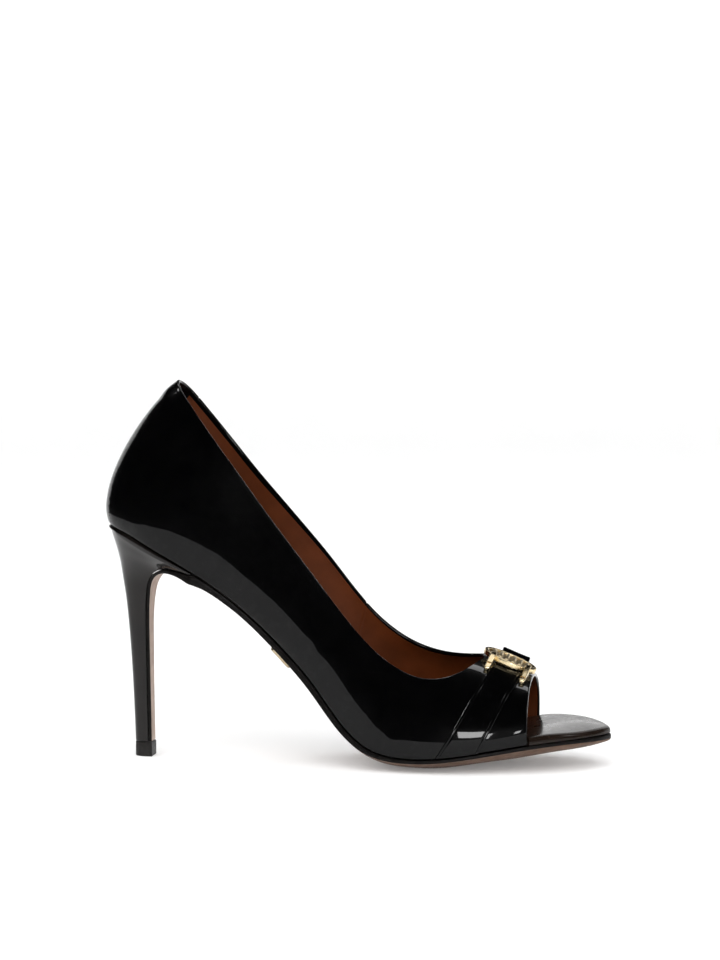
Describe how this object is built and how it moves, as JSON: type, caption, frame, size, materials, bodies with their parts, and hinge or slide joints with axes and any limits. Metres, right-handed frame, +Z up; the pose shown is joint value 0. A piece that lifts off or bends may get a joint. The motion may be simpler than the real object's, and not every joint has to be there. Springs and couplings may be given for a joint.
{
  "type": "pump shoe",
  "caption": "Open-toe stiletto pump in black patent leather with a wrapped insole, a leather sole, a tall slim heel and a buckled strap over the vamp.",
  "frame": {"origin": "middle of the shoe's box at floor level", "axes": "+X from the heel to the toe, +Y to the inner side of the foot, +Z up"},
  "size_m": [0.2216, 0.0744, 0.1656],
  "materials": {
    "patent_black": "mirror-gloss black patent outside, tan leather lining inside",
    "insole_patent": "black patent wrap at the toe, tan leather sock inside",
    "sole_leather": "satin tan leather with a black edge",
    "heel_cover": "satin dark stacked-look cover",
    "tip_rubber": "matt black",
    "strap_patent": "mirror-gloss black patent",
    "gold_metal": "polished pale gold",
    "gold_plaque": "polished pale gold",
    "gold_plate": "satin pale gold"
  },
  "bodies": {
    "root": {"upper": "patent_black", "insole": "insole_patent", "outsole": "sole_leather", "heel": "heel_cover", "heel_tip": "tip_rubber", "vamp_strap": "strap_patent", "buckle": "gold_metal", "buckle_plaque": "gold_plaque", "sole_plate": "gold_plate"}
  },
  "joints": []
}
